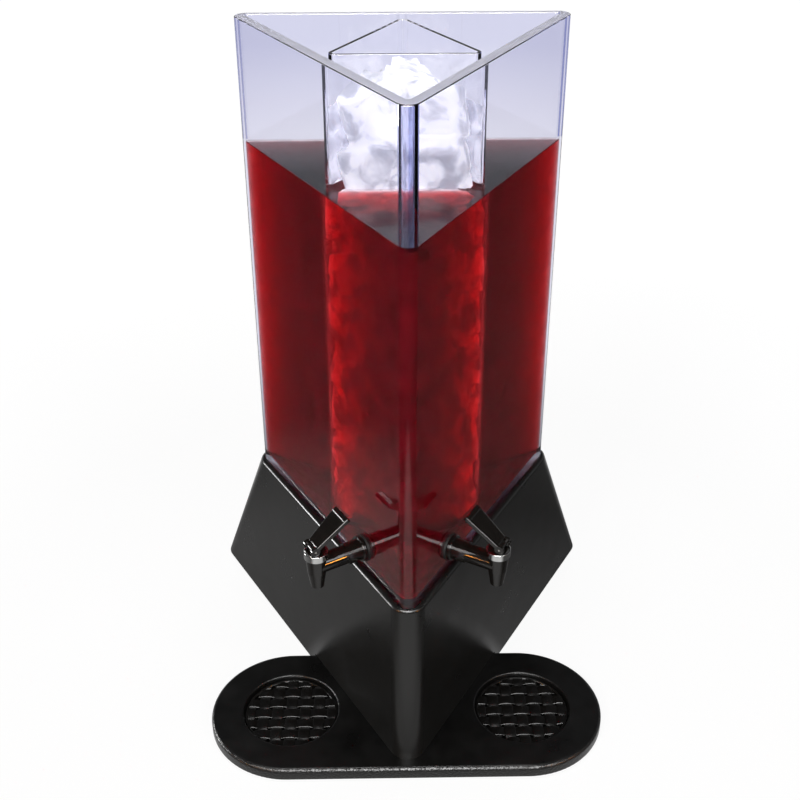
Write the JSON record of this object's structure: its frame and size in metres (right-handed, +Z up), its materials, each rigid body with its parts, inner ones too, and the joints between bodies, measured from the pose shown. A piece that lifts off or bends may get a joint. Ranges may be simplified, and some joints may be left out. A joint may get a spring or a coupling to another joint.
{
  "type": "juice dispenser",
  "caption": "Triangular clear juice dispenser on a black pedestal with drip tray, ice core tube and self-closing lever taps on its front faces.",
  "frame": {"origin": "on the table under the middle of the whole object's box", "axes": "+Z up, -Y to the front where the tank's corner and the taps are, +X to the right seen from the front"},
  "size_m": [0.415, 0.377, 0.662],
  "materials": {
    "clear_acrylic": "clear polished acrylic",
    "red_juice": "red juice, stands in for a liquid",
    "ice": "cloudy ice cubes frozen together",
    "pedestal_abs": "satin moulded black plastic",
    "tray_abs": "pebble-grained black plastic",
    "grille_abs": "gloss black plastic, woven pattern",
    "tap_plastic": "gloss black plastic",
    "chrome": "chrome plated",
    "steel": "plain stainless steel",
    "seal_silicone": "translucent silicone",
    "foot_rubber": "matt rubber"
  },
  "bodies": {
    "base": {"pedestal_shell": "pedestal_abs", "drip_tray": "tray_abs", "tray_feet": "foot_rubber", "pedestal_feet": "foot_rubber", "tray_screws": "steel"},
    "container": {"container_walls": "clear_acrylic", "container_floor": "clear_acrylic", "juice_fill": "red_juice", "tap_body_left": "tap_plastic", "tap_washer_outer_left": "seal_silicone", "tap_washer_inner_left": "seal_silicone", "tap_lock_nut_left": "tap_plastic", "tap_gasket_left": "seal_silicone", "tap_cap_left": "tap_plastic", "tap_collar_left": "chrome", "tap_pivot_pin_left": "steel", "tap_body_right": "tap_plastic", "tap_washer_outer_right": "seal_silicone", "tap_washer_inner_right": "seal_silicone", "tap_lock_nut_right": "tap_plastic", "tap_gasket_right": "seal_silicone", "tap_cap_right": "tap_plastic", "tap_collar_right": "chrome", "tap_pivot_pin_right": "steel"},
    "ice_tube": {"ice_tube_walls": "clear_acrylic", "ice_tube_floor": "clear_acrylic", "ice_fill": "ice"},
    "lever_left": {"tap_lever_left": "tap_plastic", "tap_lift_pin_left": "steel"},
    "stem_left": {"tap_stem_left": "tap_plastic", "tap_seat_cup_left": "seal_silicone"},
    "grille_left": {"drip_grille_left": "grille_abs"},
    "lever_right": {"tap_lever_right": "tap_plastic", "tap_lift_pin_right": "steel"},
    "stem_right": {"tap_stem_right": "tap_plastic", "tap_seat_cup_right": "seal_silicone"},
    "grille_right": {"drip_grille_right": "grille_abs"}
  },
  "joints": [
    {"name": "container_lift", "type": "slide", "parent": "base", "child": "container", "axis": [0, 0, 1], "range_m": [0, 0.06]},
    {"name": "ice_tube_lift", "type": "slide", "parent": "container", "child": "ice_tube", "axis": [0, 0, 1], "range_m": [0, 0.47]},
    {"name": "lever_left_pull", "type": "hinge", "parent": "container", "child": "lever_left", "pos_m": [-0.08557, -0.14078, 0.24695], "axis": [0.5, -0.866, 0], "range_deg": [0, 60], "stiffness_Nm_per_rad": 0.06, "springref_deg": -14.32},
    {"name": "stem_left_rise", "type": "slide", "parent": "container", "child": "stem_left", "axis": [0, 0, 1], "range_m": [0, 0.0045]},
    {"name": "grille_left_lift", "type": "slide", "parent": "base", "child": "grille_left", "axis": [0, 0, 1], "range_m": [0, 0.03]},
    {"name": "lever_right_pull", "type": "hinge", "parent": "container", "child": "lever_right", "pos_m": [0.08557, -0.14078, 0.24695], "axis": [0.5, 0.866, 0], "range_deg": [0, 60], "stiffness_Nm_per_rad": 0.06, "springref_deg": -14.32},
    {"name": "stem_right_rise", "type": "slide", "parent": "container", "child": "stem_right", "axis": [0, 0, 1], "range_m": [0, 0.0045]},
    {"name": "grille_right_lift", "type": "slide", "parent": "base", "child": "grille_right", "axis": [0, 0, 1], "range_m": [0, 0.03]}
  ],
  "couplings": [
    {"joint": "stem_left_rise", "follows": "lever_left_pull", "m_per_rad": 0.004297},
    {"joint": "stem_right_rise", "follows": "lever_right_pull", "m_per_rad": 0.004297}
  ]
}
